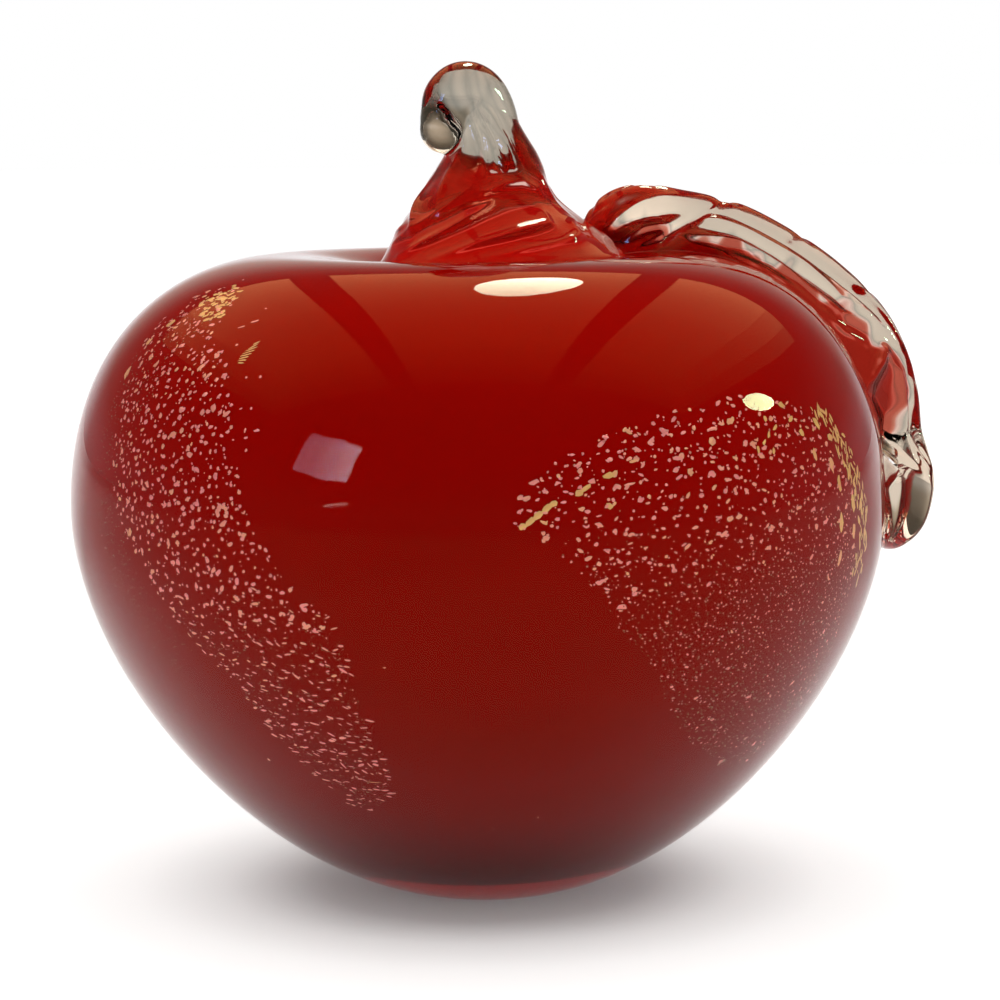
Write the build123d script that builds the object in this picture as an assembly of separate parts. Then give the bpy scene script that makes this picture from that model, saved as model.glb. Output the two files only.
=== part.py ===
"""Hand-blown glass apple: red core, crackled gold leaf, clear casing, clear stem and clear leaf.

Units are millimetres and +Z is up. The origin is the centre of the ground foot that the apple
stands on. The front is towards -Y, and the leaf trails down the right side, at the back.
"""

import math
import os

from build123d import *

# Apple body, outside of the clear casing
BODY_RADIUS = 54.5
WIDEST_HEIGHT = 52.0
CROWN_HEIGHT = 85.0
RIM_RADIUS = 26.0
DIMPLE_DEPTH = 4.0
FOOT_RADIUS = 13.0

# How far each curve of the outline pulls away from its ends
FOOT_RUN = 22.0
FOOT_RISE = 6.2
FLANK_DROP = 19.5
SHOULDER_RISE = 21.5
RIM_RUN = 15.0
DIMPLE_RUN = 12.0

# Walls, from the outside in
CASING_WALL = 6.0
FOOT_WALL = 9.0
CORE_WALL = 3.5
GOLD_THICKNESS = 0.15
NECK_RADIUS = 5.0

# Clear stem bit
STEM_BASE_RADIUS = 15.6
STEM_OFFSET = 3.2
STEM_HEIGHT = 25.5
STEM_RIBS = 7
RIB_POINTS = 5
STEM_RIB_DEPTH = 1.3
STEM_TWIST_ANGLE = 110.0
CURL_RADIUS = 5.1
CURL_TIP_RADIUS = 4.0

# Clear leaf bit
LEAF_THICKNESS = 10.0
LEAF_HALF_WIDTH = 9.0
LEAF_VEIN_DEPTH = 1.2

# Height and sideways place of each stem ring, as shares of STEM_HEIGHT above the crown and of
# STEM_OFFSET, then its radius as a share of STEM_BASE_RADIUS and its ribs as a share of their
# full depth
STEM_RING_SHARES = [
    (-0.20, 1.00, 1.16, 1.0),
    (0.00, 1.00, 1.00, 1.0),
    (0.08, 0.93, 0.89, 1.0),
    (0.15, 0.80, 0.80, 1.0),
    (0.22, 0.62, 0.695, 0.9),
    (0.29, 0.50, 0.61, 0.8),
    (0.37, 0.50, 0.53, 0.6),
    (0.44, 0.54, 0.47, 0.5),
    (0.52, 0.46, 0.425, 0.3),
    (0.60, 0.32, 0.365, 0.2),
    (0.70, 0.10, 0.33, 0.1),
    (0.80, -0.25, 0.295, 0.0),
]

# Centre of the curl and of its hanging tip: sideways and frontways as shares of CURL_RADIUS, and
# upwards as a share of STEM_HEIGHT
CURL_SHARE = (-0.27, -0.16, 0.80)
CURL_TIP_SHARE = (-0.63, -0.43, 0.66)

# Stations of the leaf. Place along the body's outline (0 the middle of the dimple, 1 the rim,
# 2 the widest line, 3 the foot), degrees behind the right-hand side, then shares of
# LEAF_THICKNESS, of LEAF_HALF_WIDTH and, for the gap under the leaf, of LEAF_THICKNESS
LEAF_STATION_SHARES = [
    (0.70, 34.0, 0.38, 0.40, -0.50),
    (0.84, 30.0, 0.76, 0.72, -0.50),
    (0.98, 26.5, 0.90, 0.86, -0.50),
    (1.08, 24.0, 0.84, 0.88, -0.45),
    (1.20, 22.0, 0.84, 0.94, -0.45),
    (1.34, 20.0, 0.82, 1.00, -0.45),
    (1.50, 17.5, 0.88, 1.00, -0.45),
    (1.66, 15.5, 0.99, 0.96, -0.45),
    (1.80, 14.0, 0.95, 0.92, -0.40),
    (1.92, 13.0, 0.88, 0.88, -0.15),
    (2.01, 12.5, 0.88, 0.82, 0.10),
    (2.08, 12.0, 0.72, 0.66, 0.18),
    (2.13, 12.0, 0.46, 0.36, 0.20),
]

# Right half of the leaf's section from its underside to its middle vein: sideways as a share of
# the half width, and upwards as a share of the way from underside to ridge
LEAF_SECTION_SHARES = [
    (0.55, 0.00),
    (0.98, 0.16),
    (0.92, 0.55),
    (0.55, 0.94),
    (0.22, 1.00),
]

# Gold patches. Each has the degrees round from the front that it faces, and its outline in the
# upright plane that faces it: sideways as a share of the core's radius, upwards as a share of
# CROWN_HEIGHT
LEFT_BAND_ANGLE = -45.0
LEFT_BAND_SHARES = [
    (-0.34, 0.882),
    (-0.26, 0.900),
    (-0.17, 0.896),
    (-0.10, 0.872),
    (0.01, 0.830),
    (0.08, 0.760),
    (0.17, 0.665),
    (0.20, 0.620),
    (0.30, 0.555),
    (0.40, 0.495),
    (0.40, 0.430),
    (0.37, 0.385),
    (0.36, 0.330),
    (0.31, 0.275),
    (0.26, 0.235),
    (0.15, 0.205),
    (0.10, 0.250),
    (0.09, 0.320),
    (0.13, 0.370),
    (0.06, 0.440),
    (-0.03, 0.500),
    (-0.13, 0.575),
    (-0.27, 0.640),
    (-0.34, 0.710),
    (-0.37, 0.775),
    (-0.39, 0.840),
]
RIGHT_WEDGE_ANGLE = 43.0
RIGHT_WEDGE_SHARES = [
    (-0.60, 0.640),
    (-0.57, 0.695),
    (-0.46, 0.730),
    (-0.31, 0.765),
    (-0.12, 0.780),
    (0.06, 0.788),
    (0.18, 0.780),
    (0.29, 0.755),
    (0.38, 0.710),
    (0.45, 0.655),
    (0.49, 0.600),
    (0.48, 0.520),
    (0.47, 0.440),
    (0.43, 0.360),
    (0.36, 0.295),
    (0.24, 0.262),
    (0.12, 0.275),
    (0.04, 0.300),
    (-0.02, 0.330),
    (-0.12, 0.380),
    (-0.21, 0.430),
    (-0.31, 0.480),
    (-0.40, 0.540),
    (-0.48, 0.595),
]
FLECK_ANGLE = -45.0
FLECK_LENGTH = 2.4
FLECK_SHARES = [
    (-0.01, 0.885, 0.8),
    (0.11, 0.845, 1.0),
    (0.24, 0.745, 0.6),
    (0.27, 0.700, 0.5),
]
FLECK_OUTLINE_SHARES = [
    (-0.50, -0.05),
    (-0.15, 0.28),
    (0.20, 0.20),
    (0.50, 0.32),
    (0.32, -0.10),
    (0.05, -0.38),
]


def outline_curves(inset, foot_radius, foot_height):
    """Control points of the right half of an outline that lies inside the body's by the inset.

    They run from the middle of the dimple over the rim and the widest line to the foot.
    """
    radius = BODY_RADIUS - inset
    crown = CROWN_HEIGHT - inset
    shrink = radius / BODY_RADIUS
    rim = (RIM_RADIUS, crown)
    widest = (radius, WIDEST_HEIGHT)
    dimple_floor = crown - DIMPLE_DEPTH
    dimple = [(0, dimple_floor), (DIMPLE_RUN, dimple_floor), (RIM_RADIUS - DIMPLE_RUN, crown), rim]
    shoulder = [
        rim,
        (RIM_RADIUS + RIM_RUN * shrink, crown),
        (radius, WIDEST_HEIGHT + SHOULDER_RISE * shrink),
        widest,
    ]
    flank = [
        widest,
        (radius, WIDEST_HEIGHT - FLANK_DROP * shrink),
        (FOOT_RADIUS + FOOT_RUN * shrink, foot_height + foot_radius / FOOT_RADIUS * FOOT_RISE),
        (foot_radius, foot_height),
    ]
    return [dimple, shoulder, flank]


def bezier_point(points, t):
    """Point at t from 0 to 1 on the curve that four control points give."""
    weights = [(1 - t) ** 3, 3 * (1 - t) ** 2 * t, 3 * (1 - t) * t**2, t**3]
    return tuple(sum(w * p[axis] for w, p in zip(weights, points)) for axis in range(2))


def turned_solid(curves):
    """Solid of revolution inside an outline, closed along the axis and across the foot."""
    edges = [Bezier(*[(x, 0, z) for x, z in points]) for points in curves]
    top = curves[0][0]
    foot = curves[-1][-1]
    if foot[0] > 0:
        edges.append(Line((foot[0], 0, foot[1]), (0, 0, foot[1])))
    edges.append(Line((0, 0, foot[1]), (0, 0, top[1])))
    return revolve(make_face(Wire(edges)), Axis.Z)


def facing_prism(outline, facing):
    """Prism of an outline in an upright plane that faces the given way.

    The plane stands just clear of the dimple, and the prism reaches out past the body from it.
    """
    turn = math.radians(facing)
    outward = Vector(math.sin(turn), -math.cos(turn), 0)
    sideways = Vector(math.cos(turn), math.sin(turn), 0)
    plane = Plane(origin=outward * (DIMPLE_RUN + NECK_RADIUS), x_dir=sideways, z_dir=outward)
    edge = Spline(*[plane.from_local_coords((u, v, 0)) for u, v in outline], periodic=True)
    return extrude(make_face(Wire([edge])), amount=BODY_RADIUS, dir=outward)


def patch_outline(shares):
    """Outline of a gold patch in real sizes."""
    return [(side * (BODY_RADIUS - CASING_WALL), height * CROWN_HEIGHT) for side, height in shares]


def fleck_outline(side, height, size):
    """Outline of one stray fleck in real sizes, about its own place."""
    place = (side * (BODY_RADIUS - CASING_WALL), height * CROWN_HEIGHT)
    return [
        (place[0] + u * size * FLECK_LENGTH, place[1] + v * size * FLECK_LENGTH)
        for u, v in FLECK_OUTLINE_SHARES
    ]


def ribbed_ring(height, sideways, radius, rib_depth, twist):
    """Level ring of the stem with its ribs as gentle waves, turned by the twist in degrees."""
    count = RIB_POINTS * STEM_RIBS
    points = []
    for step in range(count):
        turn = 2 * math.pi * step / count
        wave = math.cos(STEM_RIBS * (turn - math.radians(twist)))
        reach = radius + rib_depth * (wave - 1) / 2
        points.append((sideways + reach * math.cos(turn), reach * math.sin(turn), height))
    return make_face(Wire([Spline(*points, periodic=True)]))


def stem_solid():
    """Flared, twisted shaft with its top curled over to the left and hanging down a little."""
    rings = [
        ribbed_ring(
            CROWN_HEIGHT + rise * STEM_HEIGHT,
            side * STEM_OFFSET,
            radius * STEM_BASE_RADIUS,
            ribs * STEM_RIB_DEPTH,
            rise * STEM_TWIST_ANGLE,
        )
        for rise, side, radius, ribs in STEM_RING_SHARES
    ]
    shaft = loft(rings, ruled=True)
    curl = Vector(
        CURL_SHARE[0] * CURL_RADIUS,
        CURL_SHARE[1] * CURL_RADIUS,
        CROWN_HEIGHT + CURL_SHARE[2] * STEM_HEIGHT,
    )
    tip = Vector(
        CURL_TIP_SHARE[0] * CURL_RADIUS,
        CURL_TIP_SHARE[1] * CURL_RADIUS,
        CROWN_HEIGHT + CURL_TIP_SHARE[2] * STEM_HEIGHT,
    )
    way = tip - curl
    link = loft(
        [
            make_face(Wire([Plane(origin=curl, z_dir=way) * Edge.make_circle(CURL_RADIUS)])),
            make_face(Wire([Plane(origin=tip, z_dir=way) * Edge.make_circle(CURL_TIP_RADIUS)])),
        ]
    )
    return shaft + Pos(curl) * Sphere(CURL_RADIUS) + link + Pos(tip) * Sphere(CURL_TIP_RADIUS)


def leaf_station(place, behind):
    """Point on the body, its outward direction and the sideways direction across the leaf."""
    curves = outline_curves(0, FOOT_RADIUS, 0)
    index = min(int(place), len(curves) - 1)
    radius, height = bezier_point(curves[index], place - index)
    step = FOOT_RADIUS / BODY_RADIUS / BODY_RADIUS
    ahead = bezier_point(curves[index], place - index + step)
    run = (ahead[0] - radius, ahead[1] - height)
    length = math.hypot(*run)
    turn = math.radians(behind)
    round_way = Vector(math.cos(turn), math.sin(turn), 0)
    up = Vector(0, 0, 1)
    point = round_way * radius + up * height
    outward = round_way * (-run[1] / length) + up * (run[0] / length)
    across = Vector(-math.sin(turn), math.cos(turn), 0)
    return point, outward, across


def leaf_solid():
    """Veined strip that follows the body's outline, with its tip lifted off the body."""
    rings = []
    for place, behind, thickness, width, gap in LEAF_STATION_SHARES:
        point, outward, across = leaf_station(place, behind)
        under = gap * LEAF_THICKNESS
        ridge = thickness * LEAF_THICKNESS
        mirrored = [(-u, v) for u, v in reversed(LEAF_SECTION_SHARES)]
        outline = LEAF_SECTION_SHARES + [(0, 1)] + mirrored
        points = []
        for u, v in outline:
            vein = LEAF_VEIN_DEPTH * thickness if u == 0 else 0
            level = under + v * (ridge - under) - vein
            points.append(point + across * (u * width * LEAF_HALF_WIDTH) + outward * level)
        rings.append(make_face(Wire([Spline(*points, periodic=True)])))
    return loft(rings)


body_shape = turned_solid(outline_curves(0, FOOT_RADIUS, 0))
core_shape = turned_solid(outline_curves(CASING_WALL, 0, FOOT_WALL))
gold_inset = CASING_WALL - GOLD_THICKNESS
gold_shape = turned_solid(outline_curves(gold_inset, 0, FOOT_WALL - GOLD_THICKNESS))
bubble_shape = turned_solid(outline_curves(CASING_WALL + CORE_WALL, 0, FOOT_WALL + CORE_WALL))
neck = Pos(0, 0, WIDEST_HEIGHT) * Cylinder(
    NECK_RADIUS, CROWN_HEIGHT, align=(Align.CENTER, Align.CENTER, Align.MIN)
)
gold_skin = gold_shape - core_shape

gold_leaf_left = gold_skin & facing_prism(patch_outline(LEFT_BAND_SHARES), LEFT_BAND_ANGLE)
gold_leaf_right = gold_skin & facing_prism(patch_outline(RIGHT_WEDGE_SHARES), RIGHT_WEDGE_ANGLE)
gold_leaf_flecks = [
    gold_skin & facing_prism(fleck_outline(*shares), FLECK_ANGLE) for shares in FLECK_SHARES
]
red_core = core_shape - bubble_shape - neck
clear_casing = body_shape - core_shape - neck - gold_leaf_left - gold_leaf_right
for fleck in gold_leaf_flecks:
    clear_casing = clear_casing - fleck
plug = (neck & body_shape) - bubble_shape
stem = (stem_solid() - body_shape) + plug
leaf = leaf_solid() - body_shape - stem

fleck_solids = [solid for fleck in gold_leaf_flecks for solid in fleck.solids()]

nodes = {
    "red_core": red_core,
    "clear_casing": clear_casing,
    "gold_leaf_left": gold_leaf_left,
    "gold_leaf_right": gold_leaf_right,
    "gold_leaf_flecks": Compound(children=fleck_solids),
    "stem": stem,
    "leaf": leaf,
}
os.makedirs("parts", exist_ok=True)
for name, shape in nodes.items():
    export_step(shape, f"parts/{name}.step")
    print(name, len(shape.solids()), round(shape.volume, 1), shape.is_valid)
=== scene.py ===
from math import cos, pi, radians, sin

import bpy
import numpy as np
from mathutils import Matrix, Quaternion, Vector


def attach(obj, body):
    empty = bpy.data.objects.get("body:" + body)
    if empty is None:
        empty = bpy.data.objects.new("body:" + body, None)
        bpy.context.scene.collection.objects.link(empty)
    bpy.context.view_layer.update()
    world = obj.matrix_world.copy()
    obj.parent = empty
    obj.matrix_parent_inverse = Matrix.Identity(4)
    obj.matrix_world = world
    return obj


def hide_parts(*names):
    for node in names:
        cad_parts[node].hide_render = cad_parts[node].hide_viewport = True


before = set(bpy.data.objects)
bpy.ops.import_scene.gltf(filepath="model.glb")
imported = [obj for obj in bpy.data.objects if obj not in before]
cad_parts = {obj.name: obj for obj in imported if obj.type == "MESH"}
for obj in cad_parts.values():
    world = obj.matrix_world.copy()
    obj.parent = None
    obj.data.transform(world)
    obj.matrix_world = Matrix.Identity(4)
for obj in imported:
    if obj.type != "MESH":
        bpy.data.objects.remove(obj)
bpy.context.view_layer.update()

mm = 0.001  # shapes are worked out in millimetres and stored in metres


def buildMesh(name, points, faces, smooth=True):
    # points in millimetres; the object itself stays at the origin
    mesh = bpy.data.meshes.new(name)
    mesh.from_pydata((np.asarray(points) * mm).tolist(), [], faces)
    mesh.validate()
    mesh.polygons.foreach_set("use_smooth", [smooth] * len(mesh.polygons))
    mesh.update()
    piece = bpy.data.objects.new(name, mesh)
    bpy.context.scene.collection.objects.link(piece)
    return piece


def roundFaces(rows, columns, start=0, flip=False):
    # quads of a grid that closes on itself sideways, then a fan to one pole before the
    # first row and one to a pole after the last row; vertices run pole, rows, pole
    row, column = np.meshgrid(np.arange(rows - 1), np.arange(columns), indexing="ij")
    first = start + 1 + row * columns
    after = (column + 1) % columns
    quads = np.stack([first + column, first + after, first + columns + after,
                      first + columns + column], -1).reshape(-1, 4)
    ring = np.arange(columns)
    turned = (ring + 1) % columns
    low = np.stack([np.full(columns, start), start + 1 + turned, start + 1 + ring], -1)
    last = start + 1 + (rows - 1) * columns
    high = np.stack([last + ring, last + turned, np.full(columns, start + 1 + rows * columns)], -1)
    if flip:
        quads, low, high = quads[:, ::-1], low[:, ::-1], high[:, ::-1]
    return quads.tolist() + low.tolist() + high.tolist()


def closedGrid(grid, lowPole, highPole):
    return np.concatenate([np.reshape(lowPole, (1, 3)), grid.reshape(-1, 3),
                           np.reshape(highPole, (1, 3))])


def pointsOf(mesh):
    flat = np.empty(len(mesh.vertices) * 3)
    mesh.vertices.foreach_get("co", flat)
    return flat.reshape(-1, 3) / mm


def markJoint(piece, inside):
    # faces whose corners all have a value above zero take the piece's second material
    mesh = piece.data
    corners = np.empty(len(mesh.loops), int)
    starts = np.empty(len(mesh.polygons), int)
    mesh.loops.foreach_get("vertex_index", corners)
    mesh.polygons.foreach_get("loop_start", starts)
    lowest = np.minimum.reduceat(np.asarray(inside, float)[corners], starts)
    mesh.polygons.foreach_set("material_index", (lowest > 0).astype(int))


def storeValue(piece, name, values):
    # a number on each vertex, for the material to read
    stored = piece.data.attributes.new(name, "FLOAT", "POINT")
    stored.data.foreach_set("value", np.asarray(values, np.float32))


def smoothStep(value, low, high):
    t = np.clip((value - low) / (high - low), 0, 1)
    return t * t * (3 - 2 * t)


def newMaterial(name):
    material = bpy.data.materials.new(name)
    material.use_nodes = True
    tree = material.node_tree
    place = tree.nodes.new("ShaderNodeTexCoord").outputs["Object"]
    return material, tree, tree.nodes["Principled BSDF"].inputs, place


def noiseAt(tree, source, scale, detail=3.0, roughness=0.5, stretch=(1, 1, 1)):
    mapping = tree.nodes.new("ShaderNodeMapping")
    mapping.inputs["Scale"].default_value = stretch
    tree.links.new(source, mapping.inputs["Vector"])
    noise = tree.nodes.new("ShaderNodeTexNoise")
    noise.inputs["Scale"].default_value = scale
    noise.inputs["Detail"].default_value = detail
    noise.inputs["Roughness"].default_value = roughness
    tree.links.new(mapping.outputs["Vector"], noise.inputs["Vector"])
    return noise.outputs["Fac"]


def rampOf(tree, source, stops):
    ramp = tree.nodes.new("ShaderNodeValToRGB")
    elements = ramp.color_ramp.elements
    while len(elements) < len(stops):
        elements.new(0.5)
    for element, (position, colour) in zip(elements, stops):
        element.position = position
        element.color = (*colour, 1)
    tree.links.new(source, ramp.inputs["Fac"])
    return ramp.outputs["Color"]


def spreadOf(tree, source, spanFrom, spanTo=(0, 1), eased=False):
    # the values of one span spread over another, and held at its ends
    spread = tree.nodes.new("ShaderNodeMapRange")
    if eased:
        spread.interpolation_type = "SMOOTHSTEP"
    for socket, value in zip(("From Min", "From Max", "To Min", "To Max"), (*spanFrom, *spanTo)):
        spread.inputs[socket].default_value = value
    tree.links.new(source, spread.inputs["Value"])
    return spread.outputs["Result"]


def mathOf(tree, operation, *values):
    # each value is a number or another node's output
    step = tree.nodes.new("ShaderNodeMath")
    step.operation = operation
    for socket, value in zip(step.inputs, values):
        if isinstance(value, float):
            socket.default_value = value
        else:
            tree.links.new(value, socket)
    return step.outputs[0]


def attributeOf(tree, name):
    stored = tree.nodes.new("ShaderNodeAttribute")
    stored.attribute_name = name
    return stored.outputs["Fac"]


def axesOf(tree, source):
    split = tree.nodes.new("ShaderNodeSeparateXYZ")
    tree.links.new(source, split.inputs["Vector"])
    return split.outputs


bodyForm = {
    "radius": 54.5, "widest": 52.0, "crown": 85.0, "rimRadius": 26.0, "dimple": 4.0,
    "foot": 13.0, "footRun": 22.0, "footRise": 6.2, "footEdge": 0.25, "flankDrop": 19.5,
    "shoulderRise": 21.5, "rimRun": 15.0, "dimpleRun": 12.0,
    "casingWall": 6.0, "footWall": 9.0, "coreWall": 3.5,
    "overlap": 0.05,     # how far the casing's inner skin lies inside the core
    "lean": 0.65,        # how far the foot stands to the right of the axis
    "wave": 0.05,        # blown unevenness of the outer surface
    "casingColumns": 384, "coreColumns": 192, "innerColumns": 96,
}


def outlineAt(place, inset, foot, footHeight):
    # three cubic Bezier curves end to end: the dimple (place 0 to 1), the shoulder (1 to 2)
    # and the flank (2 to 3); point = (1-t)^3 a + 3(1-t)^2 t b + 3(1-t) t^2 c + t^3 d
    form = bodyForm
    radius = form["radius"] - inset
    crown = form["crown"] - inset
    shrink = radius / form["radius"]
    low = crown - form["dimple"]
    controls = np.array([
        [(0, low), (form["dimpleRun"], low), (form["rimRadius"] - form["dimpleRun"], crown),
         (form["rimRadius"], crown)],
        [(form["rimRadius"], crown), (form["rimRadius"] + form["rimRun"] * shrink, crown),
         (radius, form["widest"] + form["shoulderRise"] * shrink), (radius, form["widest"])],
        [(radius, form["widest"]), (radius, form["widest"] - form["flankDrop"] * shrink),
         (form["foot"] + form["footRun"] * shrink,
          footHeight + foot / form["foot"] * form["footRise"]), (foot, footHeight)],
    ])
    place = np.asarray(place, float)
    index = np.clip(place.astype(int), 0, 2)
    t = place - index
    weights = np.stack([(1 - t) ** 3, 3 * (1 - t) ** 2 * t, 3 * (1 - t) * t ** 2, t ** 3], -1)
    point = (weights[..., None] * controls[index]).sum(-2)
    return point[..., 0], point[..., 1]


def turnPoints(radius, height, azimuth):
    # azimuth runs from the front towards the right: x = r sin a, y = -r cos a; the foot
    # drifts to the right with the cube of the depth below the widest line
    below = np.clip((bodyForm["widest"] - height) / bodyForm["widest"], 0, 1)
    x = radius * np.sin(azimuth) + bodyForm["lean"] * below ** 3
    y = -radius * np.cos(azimuth)
    return np.stack(np.broadcast_arrays(x, y, height), -1)


def casingSurface(place, azimuth, depth=0.0):
    # the outer outline turned round the axis, sunk by two slow waves round and along it,
    # and then by the depth along its own normal in the upright plane
    radius, height = outlineAt(place, 0, bodyForm["foot"], 0)
    step = 1e-3
    r1, h1 = outlineAt(np.clip(place - step, 0, 3), 0, bodyForm["foot"], 0)
    r2, h2 = outlineAt(np.clip(place + step, 0, 2.9999), 0, bodyForm["foot"], 0)
    run = np.hypot(r2 - r1, h2 - h1) + 1e-9
    outR, outH = -(h2 - h1) / run, (r2 - r1) / run
    fade = np.clip((3 - place) * 3, 0, 1) * np.clip(place * 2, 0, 1)
    wave = bodyForm["wave"] * fade * (
        1 + 0.5 * np.sin(3 * azimuth + 2.1 * place + 0.7) + 0.5 * np.sin(5 * azimuth - 3.3 * place))
    sink = depth + wave
    return turnPoints(np.maximum(radius - outR * sink, 0), height - outH * sink, azimuth)


def casingSkin(place, azimuth):
    # the casing's surface down to place 3, then a small rounded edge and the flat ground foot
    points = casingSurface(np.minimum(place, 3.0 - 1e-6), azimuth)
    share = np.clip(place - 3, 0, 1)
    reach = (bodyForm["foot"] - bodyForm["footEdge"]) * (1 - share)
    foot = turnPoints(reach, np.zeros_like(place), azimuth)
    return np.where((place > 3)[..., None], foot, points)


def skinUnder(depth):
    # the outline set in by the casing's wall and by this depth more, turned round the axis
    def skin(place, azimuth):
        wall, floor = bodyForm["casingWall"] + depth, bodyForm["footWall"] + depth
        radius, height = outlineAt(place, wall, 0, floor)
        return turnPoints(radius, height, azimuth)
    return skin


def turnedShell(name, outerPlaces, outer, columns, inner):
    # an outer closed skin facing out and an inner one facing in
    innerPlaces, innerColumns = np.linspace(0.01, 2.99, 90), bodyForm["innerColumns"]
    points, faces = [], []
    for places, skin, around, flip in ((outerPlaces, outer, columns, False),
                                       (innerPlaces, inner, innerColumns, True)):
        grid = skin(places[:, None], np.linspace(0, -2 * pi, around, endpoint=False)[None])
        faces += roundFaces(len(places), around, start=sum(map(len, points)), flip=flip)
        points.append(closedGrid(grid, grid[0].mean(0), grid[-1].mean(0)))
    return buildMesh(name, np.concatenate(points), faces)


flankPlaces = np.concatenate([np.linspace(0.004, 1, 90)[:-1], np.linspace(1, 2, 62)[:-1],
                              np.linspace(2, 2.995, 52), [2.998]])
casingPlaces = np.concatenate([flankPlaces, [3.0001, 3.02, 3.3, 3.6, 3.9]])
casing = turnedShell("clearCasing", casingPlaces, casingSkin, bodyForm["casingColumns"],
                     skinUnder(bodyForm["overlap"]))
core = turnedShell("redCore", flankPlaces, skinUnder(0), bodyForm["coreColumns"],
                   skinUnder(bodyForm["coreWall"]))
print("body blown: casing", len(casing.data.polygons), "faces, core", len(core.data.polygons))

glassLook = {
    "casing": {"ior": 1.24, "mirror": (1.0, 0.5, 0.25), "ripple": 0.03, "scale": 38.0},
    "bits": {"ior": 1.4, "mirror": (0.30, 0.26, 0.24), "ripple": 0.05, "scale": 90.0},
    "casingTint": (1.0, 0.985, 0.965),
    # the bits' painted tints: pink and red are painted red that stands for the body's red seen through
    # the glass, and pale is painted light; -1 pale, 0 smoky, 0.5 pink, 1 red
    "paintedTints": [(-1.0, (0.90, 0.735, 0.58)), (0.0, (0.26, 0.245, 0.208)), (0.5, (0.72, 0.42, 0.37)),
               (0.8, (0.42, 0.060, 0.035)), (1.0, (0.25, 0.012, 0.006))],
    "rippleDepth": 0.002, "wearScale": 140.0, "wearSpan": (0.45, 0.8), "wear": 0.012,
    # colour of a melted joint, and how much of it is clear; the red one is painted red that stands for
    # the body's red seen through
    "clearJoint": ((1.0, 1.0, 1.0), 1.0), "paintedRedJoint": ((1.0, 0.02, 0.01), 0.5),
}


def clearGlass(name, look):
    # clear glass whose surface carries a slow hand-worked ripple and faint wear
    material, tree, shader, place = newMaterial(name)
    shader["Transmission Weight"].default_value = 1.0
    shader["IOR"].default_value = look["ior"]
    shader["Specular Tint"].default_value = (*look["mirror"], 1)
    bump = tree.nodes.new("ShaderNodeBump")
    bump.inputs["Strength"].default_value = look["ripple"]
    bump.inputs["Distance"].default_value = glassLook["rippleDepth"]
    tree.links.new(noiseAt(tree, place, look["scale"], 2.0), bump.inputs["Height"])
    tree.links.new(bump.outputs["Normal"], shader["Normal"])
    wear = noiseAt(tree, place, glassLook["wearScale"], 4.0)
    rough = spreadOf(tree, wear, glassLook["wearSpan"], (0, glassLook["wear"]))
    tree.links.new(rough, shader["Roughness"])
    return material, tree, shader


def casingMaterial():
    material, _, shader = clearGlass("casingGlass", glassLook["casing"])
    shader["Base Color"].default_value = (*glassLook["casingTint"], 1)
    return material


def bitMaterial():
    # the tint follows the mesh's painted-tint attribute, which runs from -1 to 1: painted red for the
    # body's red seen through, and painted light where it is pale
    material, tree, shader = clearGlass("bitGlass", glassLook["bits"])
    share = spreadOf(tree, attributeOf(tree, "paintedTint"), (-1, 1))
    tint = rampOf(tree, share, [((level + 1) / 2, colour) for level, colour in glassLook["paintedTints"]])
    tree.links.new(tint, shader["Base Color"])
    return material


def meltedJoint(name, colour, clear):
    # where two gathers of glass have melted into one, light goes straight on; where the share that is
    # clear lies below 1, the rest is painted red that stands for the body's red seen through the bit
    material, _, shader, _ = newMaterial(name)
    shader["Base Color"].default_value = (*colour, 1)
    shader["Transmission Weight"].default_value = clear
    shader["IOR"].default_value = 1.0
    shader["Roughness"].default_value = 0.0
    shader["Specular IOR Level"].default_value = 0.0
    return material


redLook = {
    # share of the way up to the crown, with the streaks added to it, and the red there; the red is
    # painted darker towards the bottom, as painted shade
    "levels": [(0.20, (0.165, 0.0004, 0.0002)), (0.55, (0.245, 0.0005, 0.0002)),
               (0.88, (0.325, 0.0010, 0.0004)), (1.0, (0.315, 0.0018, 0.0006))],
    "crown": 0.085,      # metres
    "streakShare": 0.30, "streakScale": 22.0, "streakDraw": (1, 1, 4.5), "rough": 0.45,
}


def redGlass():
    # opaque red, drawn out in faint level streaks, with painted shade that darkens it towards the bottom
    material, tree, shader, place = newMaterial("redGlass")
    streaks = noiseAt(tree, place, redLook["streakScale"], 4.0, 0.55, redLook["streakDraw"])
    # painted shade: the height sets how dark the red is, darker towards the bottom
    level = spreadOf(tree, axesOf(tree, place)["Z"], (0, redLook["crown"]))
    both = mathOf(tree, "MULTIPLY_ADD", streaks, redLook["streakShare"], level)
    tree.links.new(rampOf(tree, both, redLook["levels"]), shader["Base Color"])
    shader["Roughness"].default_value = redLook["rough"]
    shader["Specular IOR Level"].default_value = 0.0
    return material


bitGlass = bitMaterial()
clearJoint = meltedJoint("meltedJoint", *glassLook["clearJoint"])
# painted red for the bits' faces that lie melted into the casing
paintedRedJoint = meltedJoint("paintedRedJoint", *glassLook["paintedRedJoint"])
core.data.materials.append(redGlass())
casing.data.materials.append(casingMaterial())
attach(core, "root")
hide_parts("red_core")
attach(casing, "root")
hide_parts("clear_casing")


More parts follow.
